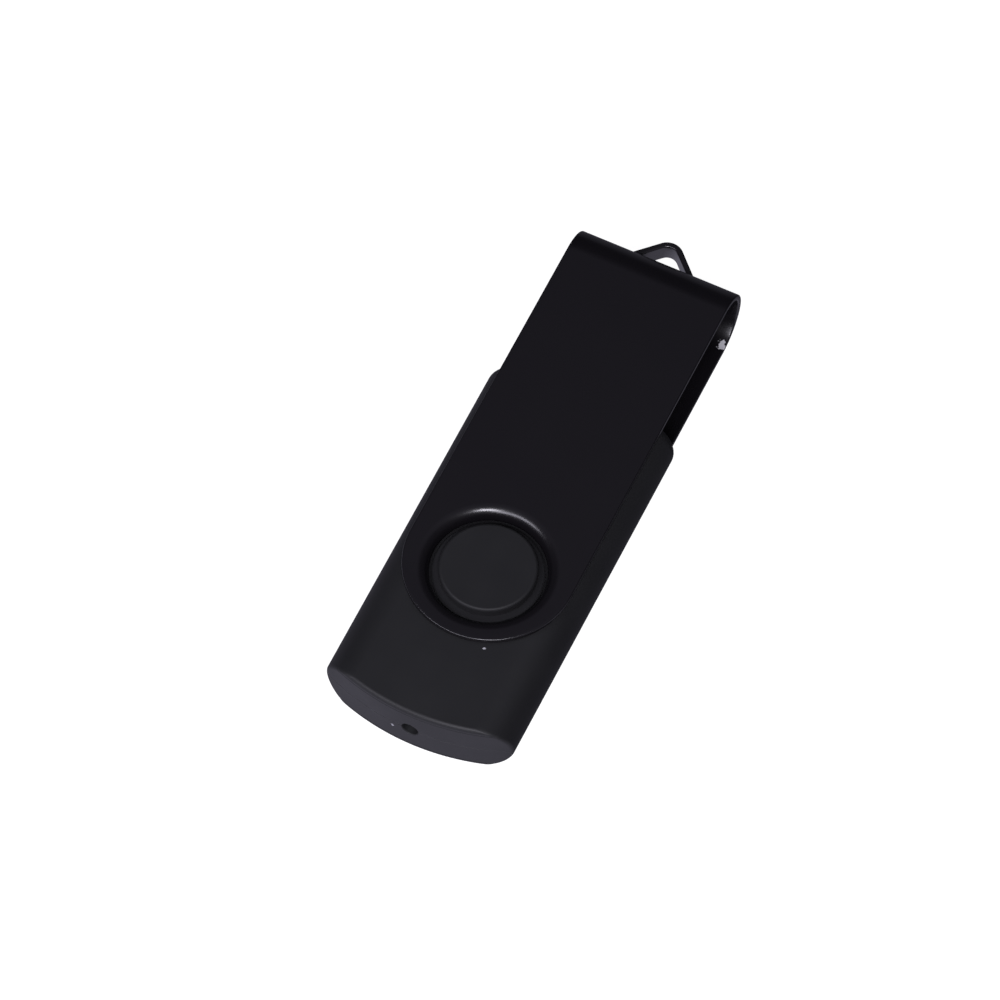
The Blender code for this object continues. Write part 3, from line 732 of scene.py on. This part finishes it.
def groove_mask(tree):
    """1 on the walls and floor of the pivot groove, where shade is painted, and 0 on the case outside it."""
    length = tree.nodes.new("ShaderNodeVectorMath")
    length.operation = "LENGTH"
    tree.links.new(object_coordinates(tree, (1, 1, 0)), length.inputs[0])
    radius = length.outputs["Value"]
    outside_cap = remap(tree, radius, BOSS_RADIUS - 0.2, BOSS_RADIUS - 0.02, 0.0, 1.0)
    inside_rim = remap(tree, radius, GROOVE_RADIUS, GROOVE_RADIUS + 0.1, 1.0, 0.0)
    return math_node(tree, "MULTIPLY", outside_cap, inside_rim)


def make_case_plastic():
    """Matte black plastic with a fine spark-eroded grain, dull smudges, a few scuffs and painted shade in the
    pivot groove.
    """
    material, tree, shader = new_material("case_plastic")
    smudges = noise(tree, 6.0, 2.0)
    grain = noise(tree, 0.09, 2.0, 0.6)
    scuffs = scratches(tree, 0.05, 2.5)
    colour = mix_colours(tree, smudges, (0.0082, 0.0085, 0.0091), (0.0098, 0.0101, 0.0108))
    for centre, radius in CASE_SPECKS:
        colour = mix_colours(tree, spot(tree, centre, radius), colour, (0.35, 0.35, 0.37))
    # Painted shade: the groove round the boss is coloured near black, as if in deep shade, and made rougher.
    groove_shade = groove_mask(tree)
    colour = mix_colours(tree, groove_shade, colour, (0.004, 0.004, 0.005))
    tree.links.new(colour, shader.inputs["Base Color"])
    shader.inputs["Specular IOR Level"].default_value = 0.38
    dull = remap(tree, smudges, 0.3, 0.7, 0.53, 0.61)
    worn = math_node(tree, "MULTIPLY", scuffs, -0.08)
    dulled = math_node(tree, "ADD", dull, math_node(tree, "MULTIPLY", groove_shade, 0.3))
    tree.links.new(math_node(tree, "ADD", dulled, worn), shader.inputs["Roughness"])
    add_bump(tree, shader, grain, 0.005)
    return material


def make_cover_paint():
    """Satin black paint: faint orange peel, hairline scratches, and a light grey patch on the lower bend's inner
    edge that is a painted highlight.
    """
    material, tree, shader = new_material("cover_paint")
    clouds = noise(tree, 8.0, 2.0)
    peel = noise(tree, 0.35, 2.0)
    hairlines = scratches(tree, 0.04, 4.0)
    colour = mix_colours(tree, clouds, (0.0046, 0.0041, 0.0051), (0.0055, 0.0049, 0.0060))
    # Painted highlight: a light grey patch on the inner edge of the lower bend stands for a glint there.
    glint = spot(tree, *PAINTED_GLINT)
    colour = mix_colours(tree, glint, colour, (0.55, 0.55, 0.56))
    tree.links.new(colour, shader.inputs["Base Color"])
    satin = remap(tree, clouds, 0.3, 0.7, 0.24, 0.29)
    worn = math_node(tree, "MULTIPLY", hairlines, -0.06)
    tree.links.new(math_node(tree, "ADD", satin, worn), shader.inputs["Roughness"])
    add_bump(tree, shader, peel, 0.003)
    return material


def make_nickel():
    """Satin nickel, brushed along the plug."""
    material, tree, shader = new_material("plug_nickel")
    brushing = noise(tree, 0.12, 3.0, 0.6, (0.04, 1, 1))
    shader.inputs["Metallic"].default_value = 1.0
    colour = mix_colours(tree, brushing, (0.56, 0.55, 0.52), (0.68, 0.67, 0.64))
    tree.links.new(colour, shader.inputs["Base Color"])
    tree.links.new(remap(tree, brushing, 0.3, 0.7, 0.2, 0.36), shader.inputs["Roughness"])
    add_bump(tree, shader, brushing, 0.003)
    return material


def make_plain(name, dark, light, roughness, metallic):
    """A material with mottled colour, mottled roughness and a fine bump."""
    material, tree, shader = new_material(name)
    mottle = noise(tree, 0.2, 3.0)
    shader.inputs["Metallic"].default_value = metallic
    tree.links.new(mix_colours(tree, mottle, dark, light), shader.inputs["Base Color"])
    low, high = roughness - 0.07, roughness + 0.07
    tree.links.new(remap(tree, mottle, 0.3, 0.7, low, high), shader.inputs["Roughness"])
    add_bump(tree, shader, mottle, 0.004)
    return material


# Stage --------------------------------------------------------------------------

def make_stage_piece(name, mesh, brightness):
    """A white surface that the camera sees and the drive neither mirrors nor is lit by."""
    data = bpy.data.meshes.new(name)
    mesh.to_mesh(data)
    mesh.free()
    piece = bpy.data.objects.new(name, data)
    bpy.context.scene.collection.objects.link(piece)
    material, tree, shader = new_material(f"{name}_white")
    mottle = noise(tree, 40.0, 2.0)
    tree.links.new(mix_colours(tree, mottle, (0.20, 0.20, 0.20), (0.24, 0.24, 0.24)),
                   shader.inputs["Base Color"])
    shader.inputs["Roughness"].default_value = 0.9
    shader.inputs["Emission Color"].default_value = (1, 1, 1, 1)
    shader.inputs["Emission Strength"].default_value = brightness
    data.materials.append(material)
    piece.visible_diffuse = False
    piece.visible_glossy = False
    piece.visible_transmission = False
    piece.visible_shadow = False


def make_floor():
    """The white ground that the drive lies on."""
    mesh = bmesh.new()
    bmesh.ops.create_grid(mesh, x_segments=8, y_segments=8, size=FLOOR_HALF)
    make_stage_piece("floor", mesh, 0.98)


def make_backdrop():
    """A dome all round, so that low views end in white too."""
    mesh = bmesh.new()
    bmesh.ops.create_uvsphere(mesh, u_segments=48, v_segments=24, radius=DOME_RADIUS)
    bmesh.ops.reverse_faces(mesh, faces=mesh.faces)
    make_stage_piece("backdrop", mesh, 1.0)


def make_softbox(name, azimuth, elevation, distance, size, power, colour):
    """An area light aimed at the drive: angles in degrees (azimuth 0 is +X, 90 is +Y), metres."""
    light = bpy.data.lights.new(name, "AREA")
    light.shape = "RECTANGLE"
    light.size, light.size_y = size
    light.energy = power
    light.color = colour
    lamp = bpy.data.objects.new(name, light)
    bpy.context.scene.collection.objects.link(lamp)
    bearing, height = math.radians(azimuth), math.radians(elevation)
    offset = Vector((math.cos(bearing) * math.cos(height),
                     math.sin(bearing) * math.cos(height), math.sin(height)))
    lamp.location = PIVOT + offset * distance
    lamp.rotation_mode = "QUATERNION"
    lamp.rotation_quaternion = offset.to_track_quat("Z", "Y")


def make_lights():
    """A small key light near the camera, and a long one to the left that draws the edges."""
    make_softbox("key_softbox", azimuth=207, elevation=54, distance=0.35,
                 size=(0.11, 0.07), power=0.75, colour=(1.0, 0.98, 1.08))
    make_softbox("left_wing", azimuth=163, elevation=45, distance=0.35,
                 size=(0.34, 0.08), power=0.70, colour=(1.0, 0.98, 1.12))


def make_world():
    """What the drive mirrors: a pale table, brighter to the rear and left, and a dim ceiling."""
    world = bpy.data.worlds.new("studio")
    bpy.context.scene.world = world
    world.use_nodes = True
    tree = world.node_tree
    coordinates = tree.nodes.new("ShaderNodeTexCoord")
    split = tree.nodes.new("ShaderNodeSeparateXYZ")
    tree.links.new(coordinates.outputs["Generated"], split.inputs["Vector"])
    x, y, z = (split.outputs[axis] for axis in "XYZ")
    left_gain, rear_glow, front_glow = 0.10, 0.72, 0.04
    wall_glow, ceiling_glow = 0.03, 0.18
    across = math_node(tree, "MULTIPLY", y, left_gain)
    along = remap(tree, x, -0.6, 0.6, rear_glow, front_glow)
    table = math_node(tree, "ADD", across, along)
    below_horizon = remap(tree, z, -0.04, 0.04, 1.0, 0.0)
    table = math_node(tree, "MULTIPLY", table, below_horizon)
    ceiling = remap(tree, z, 0.70, 0.90, wall_glow, ceiling_glow)
    background = tree.nodes["Background"]
    background.inputs["Color"].default_value = (1.0, 0.96, 1.20, 1)
    tree.links.new(math_node(tree, "ADD", table, ceiling), background.inputs["Strength"])


def make_camera():
    """A long lens from behind and above, turned to the left of the drive's length."""
    azimuth, elevation, roll = math.radians(25.43), math.radians(61.23), math.radians(0.33)
    ahead = Vector((math.cos(azimuth), math.sin(azimuth), 0))
    right = Vector((math.sin(azimuth), -math.cos(azimuth), 0))
    back = -ahead * math.cos(elevation) + Vector((0, 0, math.sin(elevation)))
    aim = Matrix((right, back.cross(right), back)).transposed() @ Matrix.Rotation(roll, 3, "Z")
    pan, tilt = math.radians(-0.095), math.radians(0.702)
    aim = aim @ Matrix.Rotation(pan, 3, "Y") @ Matrix.Rotation(tilt, 3, "X")
    data = bpy.data.cameras.new("camera")
    data.lens = 254.3
    data.sensor_width = 36.0
    data.clip_start, data.clip_end = 0.05, 10
    camera = bpy.data.objects.new("camera", data)
    bpy.context.scene.collection.objects.link(camera)
    camera.matrix_world = aim.to_4x4()
    camera.location = PIVOT + back * CAMERA_DISTANCE
    bpy.context.scene.camera = camera


def dress_cad_nodes(materials):
    """Give the pieces that keep their CAD shapes their node materials."""
    for row in frame["record"]["subparts"]:
        node = frame["nodes"][row["node"]]
        if row["material_slot"] in materials and not node.hide_render:
            node.data.materials.clear()
            node.data.materials.append(materials[row["material_slot"]])


def make_drive():
    """The five pieces drawn afresh, and then the CAD's own."""
    plastic = make_case_plastic()
    materials = {name: make_plain(name, *looks) for name, looks in PLAIN_LOOKS.items()}
    insulator = materials["insulator_plastic"]
    case_upper = make_case_half("case_upper", 1)
    finish_piece(case_upper, "case", plastic, "upper_shell")
    case_lower = make_case_half("case_lower", -1)
    finish_piece(case_lower, "case", plastic, "lower_shell")
    finish_piece(make_cover(), "cover", make_cover_paint(), "swivel_cover")
    finish_piece(make_plug_shell(), "case", make_nickel(), "plug_shell")
    finish_piece(make_tongue(), "case", insulator, "plug_insulator")
    dress_cad_nodes(materials)


def main():
    make_drive()
    make_floor()
    make_backdrop()
    make_world()
    make_lights()
    make_camera()
    bpy.context.scene.view_settings.view_transform = "Standard"


main()
